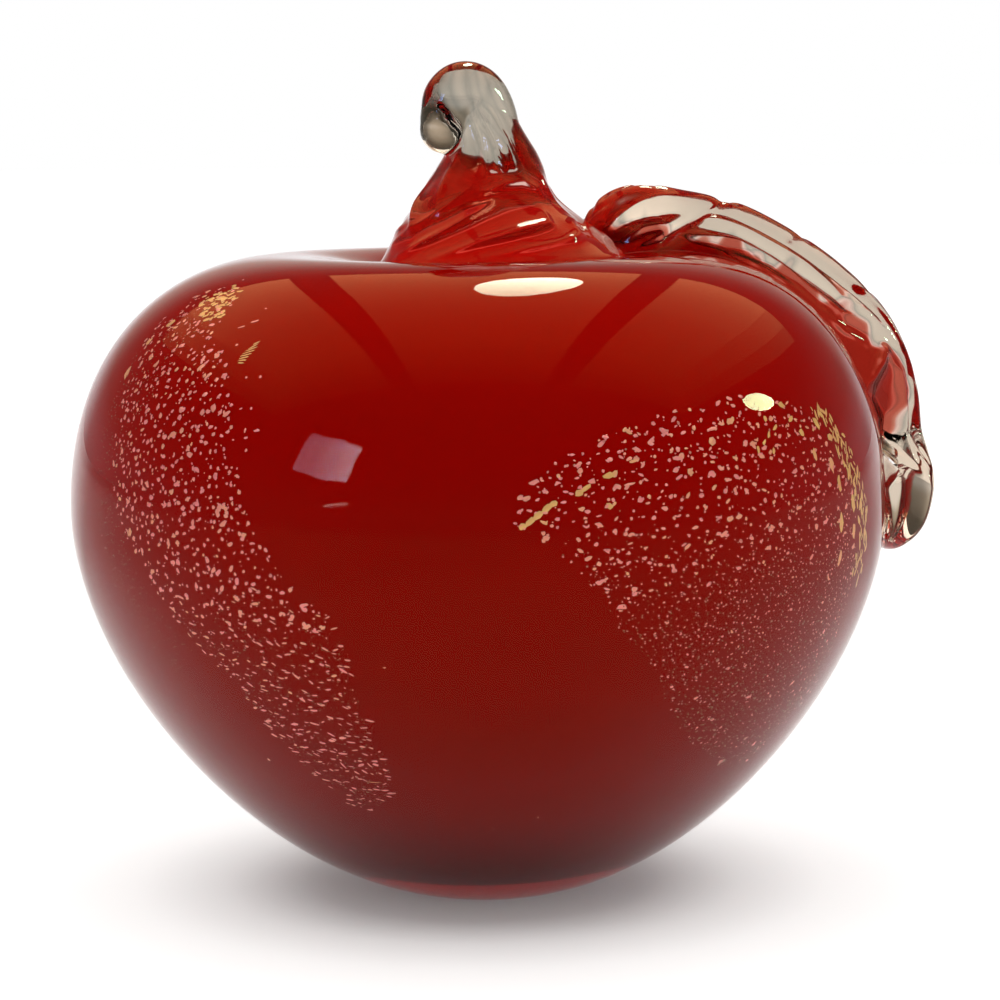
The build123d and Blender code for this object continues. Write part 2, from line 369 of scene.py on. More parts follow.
def smoothTable(at, keys, values):
    # cubic Hermite curve through the table's points, its slopes the mean of both sides
    keys, values = np.asarray(keys, float), np.asarray(values, float)
    at = np.clip(at, keys[0], keys[-1])
    slope = np.gradient(values, keys)
    index = np.clip(np.searchsorted(keys, at, side="right") - 1, 0, len(keys) - 2)
    span = keys[index + 1] - keys[index]
    t = (at - keys[index]) / span
    return ((2 * t ** 3 - 3 * t ** 2 + 1) * values[index]
            + (t ** 3 - 2 * t ** 2 + t) * span * slope[index]
            + (3 * t ** 2 - 2 * t ** 3) * values[index + 1]
            + (t ** 3 - t ** 2) * span * slope[index + 1])


def crownHeight(x, y):
    # height of the casing's top over a point of the plan
    place = np.linspace(0, 1.9, 600)
    radius, height = outlineAt(place, 0, bodyForm["foot"], 0)
    return np.interp(np.hypot(x, y), radius, height)


def ridgeRelief(turn, along, reach, ridges):
    # each ridge is (width, points), its points (degrees round, millimetres along, height);
    # relief = height times exp(-(sqrt(d^2 + c^2) - c) / width), d being the distance to the
    # ridge's line and c its rounding; grooves have heights below zero
    shape = np.broadcast_shapes(np.shape(turn), np.shape(along), np.shape(reach))
    total = np.zeros(shape)
    rounding = 0.3
    for width, points in ridges:
        best = np.zeros(shape)
        for (a1, s1, h1), (a2, s2, h2) in zip(points[:-1], points[1:]):
            x = (np.mod(turn - a1 + 180, 360) - 180) * reach
            y = along - s1
            runX, runY = (a2 - a1) * reach, s2 - s1
            t = np.clip((x * runX + y * runY) / (runX ** 2 + runY ** 2), 0, 1)
            d = np.hypot(x - t * runX, y - t * runY)
            bell = (h1 + (h2 - h1) * t) * np.exp((rounding - np.sqrt(d ** 2 + rounding ** 2)) / width)
            best = np.where(np.abs(bell) > np.abs(best), bell, best)
        total = total + best
    return total


def fuse(name, parts, voxel, rounds):
    # melts overlapping closed pieces into one skin, then smooths its joints
    bpy.context.view_layer.update()
    points, faces, start = [], [], 0
    for part in parts:
        points.append(pointsOf(part.data))
        faces += [[v + start for v in face.vertices] for face in part.data.polygons]
        start += len(points[-1])
        bpy.data.objects.remove(part)
    joined = buildMesh(name, np.concatenate(points), faces)
    melt = joined.modifiers.new("melt", "REMESH")
    melt.mode = "VOXEL"
    melt.voxel_size = voxel * mm
    melt.use_smooth_shade = True
    relax = joined.modifiers.new("relax", "SMOOTH")
    relax.factor = 0.5
    relax.iterations = rounds
    bpy.context.view_layer.update()
    mesh = bpy.data.meshes.new_from_object(joined.evaluated_get(bpy.context.evaluated_depsgraph_get()))
    joined.modifiers.clear()
    joined.data = mesh
    mesh.name = name
    mesh.polygons.foreach_set("use_smooth", [True] * len(mesh.polygons))
    return joined


stemForm = {
    # level, middle sideways, half width, half depth, share of the level (the rest follows
    # the dimple)
    "rings": [
        (82.95, 3.2, 16.9, 16.6, 0.0), (83.7, 3.2, 16.5, 16.2, 0.0), (84.5, 3.2, 15.9, 15.7, 0.3),
        (85.6, 3.15, 15.1, 15.0, 0.7), (87.2, 2.9, 13.8, 13.8, 1.0), (88.9, 2.5, 12.4, 12.4, 1.0),
        (90.7, 1.8, 10.6, 10.8, 1.0), (92.3, 1.4, 9.3, 9.5, 1.0), (94.3, 1.6, 8.1, 8.1, 1.0),
        (96.3, 1.9, 7.1, 7.0, 1.0), (98.3, 2.0, 6.1, 6.2, 1.0), (100.4, 1.7, 5.1, 5.5, 1.0),
        (102.8, 0.8, 4.6, 4.9, 1.0), (104.6, 0.0, 4.2, 4.5, 1.0), (106.0, -0.4, 3.2, 3.5, 1.0),
        (106.8, -0.5, 1.6, 1.8, 1.0),
    ],
    # middle line of the curl: sideways, back, up, radius
    "curl": [(1.6, 0.2, 97.0, 4.4), (1.1, 0.4, 101.5, 4.7), (0.0, 0.3, 104.6, 4.75),
             (-1.4, -0.4, 105.75, 4.65), (-2.9, -1.3, 104.9, 4.3), (-3.8, -1.9, 103.0, 3.6),
             (-4.2, -2.2, 101.4, 3.2)],
    "curlSide": (-0.55, 0.83, 0.0),
    "ringSteps": 92, "columns": 210, "ground": 83.3, "sink": 0.35, "voxel": 0.27, "rounds": 9,
    # how the shaft's unevenness winds: degrees, level where it starts, over how many levels
    "wind": (105, 83.0, 11.0), "uneven": 0.35, "unevenSpan": (85.0, 98.0),
    # the painted tint: painted red, standing for the body's red seen through the glass, is pink below a
    # line round the shaft with waves of (height, waves round, degrees); painted light makes paler
    # streaks above it and a pale curl end
    "pink": 0.5, "pinkLine": 95.6, "pinkFade": 0.9, "pinkWaves": [(0.9, 3, 40), (0.6, 7, 0)],
    "streak": 0.22, "streakStart": 95.0, "streakSpan": (95.5, 97.5), "curlPaintedLight": 0.6,
    # folds of the hot glass: width, then degrees round (-90 is the front), level, height
    "foldShare": 0.62,
    "folds": [
        (0.75, [(-150, 85, 0.3), (-130, 87.3, 0.8), (-105, 90, 0.9), (-90, 91.4, 0.5),
                (-80, 92.5, 0.1)]),
        (0.6, [(-165, 86.5, 0.3), (-140, 89.3, 0.6), (-118, 91.8, 0.6), (-105, 93.5, 0.2)]),
        (0.75, [(-125, 84.6, 0.3), (-101, 86.8, 0.8), (-77, 88.3, 1), (-56, 89.2, 0.9),
                (-50, 91, 0.2)]),
        (0.6, [(-100, 84.8, 0.2), (-75, 86, 0.6), (-50, 86.9, 0.7), (-30, 87.6, 0.2)]),
        (0.8, [(-97, 92.3, 0.2), (-90, 93.1, 0.7), (-73, 94.2, 0.9), (-56, 94.5, 0.8),
               (-45, 93.6, 0.6), (-38, 92, 0.2)]),
        (0.8, [(-145, 87.5, 0.2), (-150, 89.6, 0.9), (-160, 91.5, 0.9), (-170, 93.2, 0.7),
               (-172, 96, 0.2)]),
        (0.8, [(-128, 90.5, 0.2), (-131, 93, 0.8), (-134, 95.7, 0.8), (-132, 98.5, 0.3)]),
        (0.8, [(-40, 97.5, 0.2), (-32, 95, 0.7), (-25, 92.5, 0.7), (-22, 90, 0.2)]),
        (0.9, [(-46, 87, 0.7), (-39, 87.7, 0.8)]),
        (0.8, [(-37, 88.8, 0.7), (-30, 89.3, 0.7)]),
        (0.6, [(-178, 87.8, 0.4), (-165, 88.4, 0.5), (-155, 88.8, 0.2)]),
        (0.8, [(-15, 85.5, 0.2), (10, 87, 0.8), (35, 88.6, 0.8), (55, 90, 0.2)]),
        (0.8, [(30, 85.2, 0.2), (55, 87, 0.8), (80, 89, 0.9), (100, 91.5, 0.4), (108, 94, 0.1)]),
        (0.75, [(75, 85.2, 0.2), (100, 87, 0.8), (125, 89, 0.8), (140, 91.2, 0.3)]),
        (0.75, [(120, 85.2, 0.2), (145, 86.8, 0.8), (168, 88.5, 0.8), (185, 90.5, 0.2)]),
        (0.8, [(60, 91.5, 0.2), (75, 94, 0.8), (82, 97, 0.5), (84, 100, 0.1)]),
        (0.8, [(150, 90.5, 0.2), (160, 93.5, 0.8), (165, 96.5, 0.4)]),
        (0.8, [(10, 90, 0.2), (18, 93, 0.8), (22, 96, 0.5), (24, 99, 0.1)]),
        (0.9, [(-100, 93.5, 0.2), (-104, 97, 0.5), (-108, 101, 0.5), (-110, 104, 0.2)]),
        (0.9, [(-60, 95.5, 0.2), (-66, 99, 0.4), (-72, 103, 0.4), (-76, 105, 0.1)]),
        (0.45, [(-92, 94.8, -0.1), (-96, 97, -0.9), (-100, 100, -0.9), (-104, 103, -0.4)]),
        (0.45, [(-74, 97.5, -0.3), (-80, 99.5, -0.9), (-86, 102, -0.9), (-92, 104.5, -0.3)]),
        (0.35, [(-50, 96, -0.2), (-56, 98.5, -0.6), (-60, 101.5, -0.5), (-64, 104, -0.1)]),
        (0.3, [(-86, 98.6, -0.4), (-82, 97, -0.9), (-76, 95.7, -0.5), (-88, 95.6, -0.3)]),
    ],
}


def stemShaft():
    # oval rings stacked up the shaft, with a slow unevenness that winds round with the
    # height; the lowest rings ride on the dimple, and the underside follows it just below
    form = stemForm
    table = np.array(form["rings"])
    share = np.linspace(0, 1, form["ringSteps"])
    keys = np.linspace(0, 1, len(table))
    level, middle, wide, deep, own = (
        smoothTable(share, keys, table[:, k])[:, None] for k in range(5))
    own = np.clip(own, 0, 1)
    turn = np.linspace(0, 2 * pi, form["columns"], endpoint=False)[None]
    windDegrees, windLow, windSpan = form["wind"]
    wind = radians(windDegrees) * np.clip((level - windLow) / windSpan, 0, 1.2)
    low, high = form["unevenSpan"]
    swell = np.sin(np.clip((level - low) / (high - low), 0, 1) * pi)
    reach = form["uneven"] * np.sin(4 * turn - 2.2 * wind + 2.0) * swell
    x = middle + (wide + reach) * np.cos(turn)
    y = (deep + reach) * np.sin(turn)
    z = own * level + (1 - own) * (crownHeight(x, y) + level - form["ground"])
    side = np.stack(np.broadcast_arrays(x, y, z), -1)
    # underside, from the middle outwards
    inward = np.linspace(0.04, 0.97, 24)[:, None]
    ux = middle[0] + (x[0] - middle[0]) * inward
    uy = y[0] * inward
    under = np.stack([ux, uy, crownHeight(ux, uy) - form["sink"]], -1)
    grid = np.concatenate([under, side])
    top = side[-1].mean(0) + [0, 0, 0.5]
    return buildMesh("stemShaft", closedGrid(grid, under[0].mean(0), top),
                     roundFaces(len(grid), form["columns"]))


def stemCurl():
    # a round tube along the curl's middle line, both ends rounded off as half spheres
    table = np.array(stemForm["curl"])
    keys = np.linspace(0, 1, len(table))
    share = np.linspace(0, 1, 60)
    line = np.stack([smoothTable(share, keys, table[:, k]) for k in range(3)], -1)
    radius = smoothTable(share, keys, table[:, 3])
    way = np.gradient(line, axis=0)
    way /= np.linalg.norm(way, axis=1, keepdims=True)
    swing = np.linspace(0, pi / 2, 14)
    head = line[0] - way[0] * radius[0] * np.sin(swing)[::-1, None]
    tail = line[-1] + way[-1] * radius[-1] * np.sin(swing)[:, None]
    centre = np.concatenate([head[1:], line, tail[1:-1]])
    reach = np.concatenate([radius[0] * np.cos(swing)[::-1][1:], radius,
                            radius[-1] * np.cos(swing)[1:-1]])
    ways = np.concatenate([np.repeat(way[:1], 13, 0), way, np.repeat(way[-1:], 12, 0)])
    across = np.array(stemForm["curlSide"])
    across = across - ways * (ways @ across)[:, None]
    across /= np.linalg.norm(across, axis=1, keepdims=True)
    other = np.cross(ways, across)
    turn = np.linspace(0, 2 * pi, 56, endpoint=False)[None, :, None]
    grid = centre[:, None] + reach[:, None, None] * (
        np.cos(turn) * across[:, None] + np.sin(turn) * other[:, None])
    return buildMesh("stemCurl", closedGrid(grid, grid[0].mean(0), grid[-1].mean(0)),
                     roundFaces(len(grid), 56))


def stemPaintedTint(turn, height, aside):
    # the painted tint at each point of the stem: painted red for the body's red seen through, and
    # painted light for the paler streaks and the pale curl end
    form = stemForm
    line = form["pinkLine"] + sum(rise * np.sin(np.radians(turn * waves + start))
                                  for rise, waves, start in form["pinkWaves"])
    pink = form["pink"] * (1 - smoothStep(height, line - form["pinkFade"], line + form["pinkFade"]))
    curlEnd = smoothStep(-aside, 2.6, 4.6) * smoothStep(height, 96.5, 98.0)
    streak = np.abs(np.sin(np.radians(turn * 9 + 14 * (height - form["streakStart"]))))
    streak = form["streak"] * streak * smoothStep(height, *form["streakSpan"]) * (1 - curlEnd)
    lost = (form["curlPaintedLight"] + pink) * curlEnd * (1 - smoothStep(height, 102.5, 105.0))
    return pink - lost - streak


def foldStem(piece):
    # pushes the folds out of the melted stem along its normals; returns how far each
    # vertex lies below the casing's surface
    mesh = piece.data
    points = pointsOf(mesh)
    normals = np.empty(points.size, np.float32)
    mesh.vertex_normals.foreach_get("vector", normals)
    table = np.array(stemForm["rings"])
    levels = table[:, 0]
    climb = np.concatenate([[0], np.cumsum(np.hypot(np.diff(levels), np.diff(table[:, 2])))])
    height = points[:, 2]
    x = points[:, 0] - np.interp(height, levels, table[:, 1])
    turn = np.degrees(np.arctan2(points[:, 1], x))
    reach = np.radians(1) * np.hypot(x, points[:, 1])
    folds = [(width, [(a, np.interp(z, levels, climb), h) for a, z, h in line])
             for width, line in stemForm["folds"]]
    depth = crownHeight(points[:, 0], points[:, 1]) - height
    relief = stemForm["foldShare"] * ridgeRelief(turn, np.interp(height, levels, climb), reach, folds)
    relief *= smoothStep(-depth, 0.1, 0.8)
    points = points + relief[:, None] * normals.reshape(-1, 3)
    mesh.vertices.foreach_set("co", (points * mm).ravel())
    mesh.update()
    # stores the painted tint: painted red and painted light
    storeValue(piece, "paintedTint", stemPaintedTint(turn, height, points[:, 0]))
    return crownHeight(points[:, 0], points[:, 1]) - points[:, 2]


stem = fuse("clearStem", [stemShaft(), stemCurl()], stemForm["voxel"], stemForm["rounds"])
stemDepth = foldStem(stem)
print("stem fused:", len(stem.data.polygons), "faces")

leafForm = {
    # place along the outline, degrees behind the right side, ridge height, half width, gap
    # under the leaf (below zero where it is fused on)
    "stations": [
        (0.70, 34.0, 3.8, 3.6, -0.35), (0.84, 30.0, 7.6, 6.5, -0.35), (0.98, 26.5, 9.0, 7.7, -0.35),
        (1.08, 24.0, 8.4, 7.9, -0.35), (1.20, 22.0, 8.4, 8.5, -0.35), (1.34, 20.0, 8.2, 9.0, -0.35),
        (1.50, 17.5, 8.8, 9.0, -0.35), (1.66, 15.5, 9.9, 8.6, -0.35), (1.80, 14.0, 9.5, 8.3, -0.35),
        (1.92, 13.0, 8.5, 7.9, -0.20), (2.01, 12.5, 8.2, 7.4, 0.9), (2.08, 12.0, 7.4, 6.9, 1.4),
        (2.13, 12.0, 6.2, 5.8, 1.7),
    ],
    "rows": 260, "topColumns": 112, "underColumns": 26,
    "lift": (1.88, 2.00),       # places between which the leaf comes off the body
    "tipSquare": 0.24,          # the lower, the squarer the lifted tip's section
    "tipRelief": 0.05,          # share of the folds that the lifted tip keeps
    "vein": (1.1, 0.10),        # depth and width of the middle vein
    "sideVein": (0.45, 5.2, 0.9),  # depth, how many to one place, how far they sweep back
    # ridges and grooves: width, then degrees over the section (180 is the front edge, 90
    # the crest), place, height
    "folds": [
        (1, [(150, 0.76, 0.1), (137, 0.79, 0.5), (129, 0.93, 0.8), (119, 1.07, 0.6),
             (112, 1.13, 0.2)]),
        (0.6, [(160, 0.84, 0.2), (152, 0.92, 0.7), (150, 1, 0.7), (140, 1.06, 0.2)]),
        (0.5, [(172, 0.86, 0.2), (166, 0.93, 0.6), (160, 0.99, 0.5)]),
        (0.7, [(60, 1.19, -0.3), (95, 1.18, -0.4), (118, 1.15, -0.6), (132, 1.1, -1.3),
               (150, 1.04, -1.4), (168, 0.99, -1.2), (176, 0.96, -0.5)]),
        (0.8, [(135, 1.13, 0.3), (139, 1.18, 0.8), (141, 1.3, 0.6), (142, 1.41, 0.8),
               (144, 1.53, 0.7), (134, 1.61, 0.7), (128, 1.68, 0.2)]),
        (0.7, [(158, 1.08, 0.3), (154, 1.21, 0.9), (156, 1.33, 0.6), (160, 1.45, 0.7),
               (156, 1.55, 0.7), (143, 1.62, 0.5)]),
        (0.5, [(170, 1.2, 0.2), (172, 1.35, 0.6), (172, 1.5, 0.7), (165, 1.6, 0.6),
               (152, 1.66, 0.2)]),
        (0.9, [(174, 1.76, 0.8), (165, 1.745, 1.7), (150, 1.715, 1.9), (142, 1.7, 1.2)]),
        (0.8, [(140, 1.7, 0.3), (132, 1.76, 0.8), (133, 1.84, 0.8), (142, 1.91, 0.7),
               (160, 1.95, 0.4)]),
        (1.4, [(160, 1.79, -1), (150, 1.84, -1.3), (160, 1.89, -0.9)]),
        (1.3, [(112, 1.93, 0.3), (119, 1.955, 0.6), (112, 1.98, 0.2)]),
        (0.5, [(178, 1.955, -0.5), (160, 1.95, -0.8), (140, 1.94, -0.6)]),
        (0.8, [(118, 1.5, 0.2), (116, 1.65, 0.4), (114, 1.8, 0.4), (116, 1.9, 0.2)]),
        (0.35, [(128, 1.14, -0.2), (127, 1.25, -0.8), (128, 1.45, -0.9), (124, 1.6, -0.5),
                (120, 1.7, -0.1)]),
        (0.35, [(148, 1.1, -0.2), (149, 1.25, -0.7), (151, 1.42, -0.8), (147, 1.56, -0.5)]),
        (0.35, [(145, 0.82, -0.2), (140, 0.9, -0.7), (138, 0.99, -0.7), (132, 1.06, -0.3)]),
        (0.4, [(128, 1.82, -0.2), (124, 1.87, -0.7), (128, 1.93, -0.6)]),
    ],
    "perPlace": 46.0, "perDegree": 0.148,  # millimetres
    # how far up the painted red, standing for the body's red seen through, shows: place, millimetres
    # above the casing
    "redTop": [(0.70, 3.0), (0.85, 4.0), (1.00, 3.0), (1.20, 2.0), (1.45, 2.4), (1.60, 4.0),
               (1.72, 6.0), (1.86, 5.6), (1.93, 0.8), (2.00, 0.2), (2.06, 1.2), (2.13, 2.8)],
    "redFade": 0.9,
    "pale": 0.42, "tipPale": 0.26, "startPale": 0.30,  # how much the tint is painted paler above the painted red, as painted light
    # half of the section, sideways and up as shares of the half width and the ridge height:
    # the glass spreads at the foot, stands up steeply and is rounded over
    "section": [(1.0, 0.0), (0.90, 0.13), (0.80, 0.26), (0.71, 0.39), (0.62, 0.53), (0.54, 0.67),
                (0.45, 0.80), (0.34, 0.91), (0.18, 0.98), (0.0, 1.0)],
}


def leafCourse(place):
    # degrees behind the right side, ridge height, half width and gap at each place, and how
    # far the leaf is drawn in towards both ends
    table = np.array(leafForm["stations"])
    values = [smoothTable(place, table[:, 0], table[:, k]) for k in range(1, 5)]
    ends = np.sqrt(np.clip(1 - (np.clip((place - 1.415) / 0.716, -1, 1)) ** 16, 0, 1))
    return (*values, ends)


def leafSection(around):
    # the section by its angle (0 and pi are its edges): its points spaced evenly along it
    half = np.array(leafForm["section"])
    whole = np.concatenate([half, half[-2::-1] * [-1, 1]])
    travel = np.concatenate([[0], np.cumsum(np.hypot(*np.diff(whole, axis=0).T))])
    share = np.clip(around / pi, 0, 1) * travel[-1]
    return smoothTable(share, travel, whole[:, 0]), smoothTable(share, travel, whole[:, 1])


def leafPaintedTint(place, u, level, folded):
    # the painted red, standing for the body's red seen through, reaches up the leaf to a level that
    # changes down its length, in streaks; above it the tint is painted paler, as painted light, most at
    # the start and on the lifted tip
    form = leafForm
    redTop = (smoothTable(place, *np.array(form["redTop"]).T) + 1.1 * folded
              + 0.7 * np.sin(place * 31 + 5 * u) + 0.5 * np.sin(place * 73 - 3 * u))
    pale = (-form["pale"] - form["tipPale"] * smoothStep(place, 1.90, 1.97)
            - form["startPale"] * (1 - smoothStep(place, 1.0, 1.15)))
    return pale + (1 - pale) * smoothStep(redTop - level, -form["redFade"], form["redFade"])


def buildLeaf():
    # the section carried down the casing: sideways and level are its two shares times the
    # half width and the ridge height, with a vein groove, side veins and the folds; where
    # the leaf lifts off, the section turns into a whole oval
    form = leafForm
    place = np.linspace(0.70, 2.13, form["rows"])[:, None]
    behind, ridge, half, gap, ends = leafCourse(place)
    top = np.linspace(0, pi, form["topColumns"])
    low = np.linspace(pi, 2 * pi, form["underColumns"] + 2)[1:-1]
    around = np.concatenate([top, low])[None]
    above = np.sin(around) > -1e-9
    lifted = smoothStep(place, *form["lift"])
    flatU, flatV = leafSection(around)
    boxU = np.sign(np.cos(around)) * np.abs(np.cos(around)) ** form["tipSquare"]
    boxV = np.abs(np.sin(around)) ** form["tipSquare"]
    u = (1 - lifted) * np.where(above, flatU, np.cos(around)) + lifted * boxU
    dome = (1 - lifted) * np.where(above, flatV, 0) + lifted * boxV
    veinDepth, veinWidth = form["vein"]
    vein = -veinDepth * np.exp(-(u / veinWidth) ** 2) * smoothStep(place, 0.8, 1.05)
    sideDepth, perPlace, sweep = form["sideVein"]
    sideVeins = (-sideDepth * np.clip(np.cos(2 * pi * (place * perPlace - np.abs(u) * sweep)), 0, 1) ** 5
                 * (1 - u ** 2) * smoothStep(u, -0.45, -0.15))
    folds = [(width, [(a, p * form["perPlace"], h) for a, p, h in line])
             for width, line in form["folds"]]
    folded = ridgeRelief(np.degrees(around), place * form["perPlace"], form["perDegree"], folds)
    edge = np.abs(np.sin(around))
    inner = np.minimum(1, 3 * edge)
    rise = np.where(above, (vein + sideVeins) * dome + folded * inner * edge, 0)
    rise = rise * (1 - (1 - form["tipRelief"]) * lifted)
    aside = np.where(above, folded * ends * np.abs(np.cos(around)), 0) * inner
    thick = (ridge - gap) * ends
    fusedLevel = gap + thick * dome
    ovalLevel = (gap + ridge) / 2 + thick / 2 * np.where(above, dome, -dome)
    level = (1 - lifted) * fusedLevel + lifted * ovalLevel + rise * ends
    spread = u * half * ends + np.sign(u) * aside
    radius = outlineAt(place, 0, bodyForm["foot"], 0)[0]
    grid = casingSurface(place, np.radians(90 + behind) + spread / radius, -level)
    piece = buildMesh("clearLeaf", closedGrid(grid, grid[0].mean(0), grid[-1].mean(0)),
                      roundFaces(len(grid), grid.shape[1]))
    # the painted tint: painted red and painted light, stored for the material
    paintedTint = leafPaintedTint(place, u, level, folded)
    storeValue(piece, "paintedTint", np.concatenate([paintedTint[:1, 0], paintedTint.ravel(), paintedTint[-1:, 0]]))
    return piece, np.concatenate([[0], -level.ravel(), [-9]])


jointForm = {
    "depth": 0.12,             # how deep below the casing a bit's face counts as melted in
    "margin": 0.35,            # how far the casing's melted faces stay inside the bit
    "stemEnd": 1.2, "leafRun": (0.74, 1.91),  # places between which the bits are melted on
}
leaf, leafDepth = buildLeaf()
for piece, node, depth in ((stem, "stem", stemDepth), (leaf, "leaf", leafDepth)):
    piece.data.materials.clear()
    piece.data.materials.append(bitGlass)
    piece.data.materials.append(paintedRedJoint)
    # faces melted into the casing take the painted red joint
    markJoint(piece, depth - jointForm["depth"])
    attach(piece, "root")
    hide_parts(node)
print("leaf laid on:", len(leaf.data.polygons), "faces")


def coverOfBits():
    # above zero on the casing's vertices that lie under the stem or the leaf, by at least
    # the margin; below zero elsewhere, the inner skin included
    place = casingPlaces[:, None]
    azimuth = np.linspace(0, -2 * pi, bodyForm["casingColumns"], endpoint=False)[None]
    points = casingSurface(np.minimum(place, 2.99), azimuth)
    middle, wide, deep = stemForm["rings"][1][1:4]
    stemCover = (1 - np.hypot((points[..., 0] - middle) / wide, points[..., 1] / deep)) * wide
    stemCover = np.where(place < jointForm["stemEnd"], stemCover - jointForm["margin"], -1)
    behind, _, half, _, ends = leafCourse(np.clip(place, 0.70, 2.13))
    aside = np.mod(azimuth - np.radians(90 + behind) + pi, 2 * pi) - pi
    radius = outlineAt(place, 0, bodyForm["foot"], 0)[0]
    leafCover = half * ends - np.abs(aside) * radius - jointForm["margin"]
    start, end = jointForm["leafRun"]
    leafCover = np.where((place > start) & (place < end), leafCover, -1)
    cover = np.maximum(stemCover, leafCover)
    rest = len(casing.data.vertices) - cover.size - 1
    return np.concatenate([[1], cover.ravel(), np.full(rest, -1.0)])


casing.data.materials.append(clearJoint)
markJoint(casing, coverOfBits())

goldLook = {
    "dust": (0.30, 0.115, 0.05), "rose": (1.0, 0.28, 0.255), "yellow": (0.92, 0.50, 0.16),
    "stops": (0.10, 0.30, 1.0), "grainScale": 900.0, "grainShare": 0.5,
    "rough": 0.42, "roughSpan": 0.12, "metal": 0.45,
    "corners": 7, "lift": 0.09, "thick": 0.05,
    "radius": 47.0,            # mean radius of the gold, to turn degrees into millimetres
    "bend": 48.0,              # radius to which each flake is bent
    "tilt": 0.09, "tiltMost": 0.05,
    # towards the limb the degrees close up: by how many, at which degree, with what power
    "limb": (2.0, 59.5, 2.3),
    "paintedLowShade": 0.17, "lowSpan": (25, 50),  # the gold is painted duller below these heights, as painted shade
}
perDegree = radians(1) * goldLook["radius"]
# patch outlines: degrees round from the front (right is plus) and height in millimetres
rightWedge = [
    (5, 54), (6, 58), (9, 61), (14, 63), (19, 64.5), (25, 66), (31, 67), (37, 67), (44, 68),
    (50, 67.5), (56, 67), (62, 65), (68, 60), (73, 54), (74, 46), (76, 38), (80, 31), (75, 26),
    (70, 21), (58, 22), (50, 24), (42, 26), (36, 29), (32, 32), (29, 36), (25, 39), (21, 42),
    (18, 46), (13, 50), (9, 53),
]
leftBand = [
    (-76, 77), (-68, 78.5), (-58, 77.5), (-52, 74.5), (-45, 72), (-41, 69), (-38, 63), (-35, 57),
    (-33, 53), (-28, 48), (-22, 44), (-19.5, 40), (-19, 36), (-18, 30), (-17, 24), (-19, 20),
    (-28, 17.5), (-33, 19), (-37, 24), (-40, 29), (-42, 34), (-49, 39), (-55, 44), (-61, 49),
    (-67, 54), (-70, 60), (-71, 65), (-73, 70), (-77, 74),
]


def coreFrame(azimuth, height):
    # point of the core at each azimuth and height, with the ways round, up and out there
    place = np.linspace(1, 2.99, 800)
    radius, level = outlineAt(place, bodyForm["casingWall"], 0, bodyForm["footWall"])
    radius, level = radius[::-1], level[::-1]
    r = np.interp(height, level, radius)
    slope = (np.interp(height + 0.1, level, radius) - np.interp(height - 0.1, level, radius)) / 0.2
    run = np.sqrt(1 + slope ** 2)
    s, c, zero = np.sin(azimuth), np.cos(azimuth), np.zeros_like(azimuth)
    point = turnPoints(r, height, azimuth)
    around = np.stack([c, s, zero], -1)
    up = np.stack([slope / run * s, -slope / run * c, 1 / run], -1)
    out = np.stack([s / run, -c / run, -slope / run], -1)
    return point, around, up, out


def insideOutline(x, y, outline):
    # a point is inside if a line to its right crosses the outline an odd number of times
    edge = np.asarray(outline, float)
    x1, y1 = edge.T
    x2, y2 = np.roll(edge, -1, 0).T
    spans = (y1[None] > y[:, None]) != (y2[None] > y[:, None])
    cross = x1 + (y[:, None] - y1) / np.where(y2 == y1, 1e-9, y2 - y1) * (x2 - x1)
    return ((spans & (x[:, None] < cross)).sum(1) % 2) == 1


def scatterIn(outline, spacing, rng):
    # jittered rows of points over the outline's box, kept where they lie inside it
    edge = np.asarray(outline, float)
    low, high = edge.min(0), edge.max(0)
    rows = np.arange(low[1], high[1], spacing * 0.866)
    columns = np.arange(low[0], high[0], spacing / perDegree)
    y, x = np.meshgrid(rows, columns, indexing="ij")
    x = x + (np.arange(len(rows)) % 2)[:, None] * spacing / perDegree / 2
    x = x.ravel() + rng.uniform(-0.42, 0.42, x.size) * spacing / perDegree
    y = y.ravel() + rng.uniform(-0.42, 0.42, y.size) * spacing
    kept = insideOutline(x, y, outline)
    return x[kept], y[kept]


def flakePoints(flakes, rng):
    # each flake is a low double pyramid on an uneven cornered rim: rim point =
    # reach (cos, sin) stretched across and up, turned, laid on the core and bent with it
    look = goldLook
    x, y, across, upward, turn = (np.asarray(v, float) for v in flakes.T[:5])
    shape = (len(x), look["corners"])
    pull, limbAt, power = look["limb"]
    x = x - np.sign(x) * pull * np.abs(x / limbAt) ** power
    point, around, up, out = coreFrame(np.radians(x), y)
    angle = (np.arange(shape[1])[None] + rng.uniform(-0.3, 0.3, shape)) * 2 * pi / shape[1]
    reach = rng.uniform(0.72, 1.14, shape)
    u, v = reach * np.cos(angle) * across[:, None], reach * np.sin(angle) * upward[:, None]
    c, s = np.cos(np.radians(turn))[:, None], np.sin(np.radians(turn))[:, None]
    u, v = u * c - v * s, u * s + v * c
    tilt = rng.normal(0, look["tilt"], (len(x), 2))
    most = look["tiltMost"]
    rise = (look["lift"] + np.clip(tilt[:, :1] * u + tilt[:, 1:] * v, -most, most)
            - (u ** 2 + v ** 2) / (2 * look["bend"]))
    rim = (point[:, None] + u[..., None] * around[:, None] + v[..., None] * up[:, None]
           + rise[..., None] * out[:, None])
    top = point + (look["lift"] + look["thick"]) * out
    low = point + (look["lift"] - look["thick"] * 0.6) * out
    return np.concatenate([top[:, None], rim, low[:, None]], 1).reshape(-1, 3)


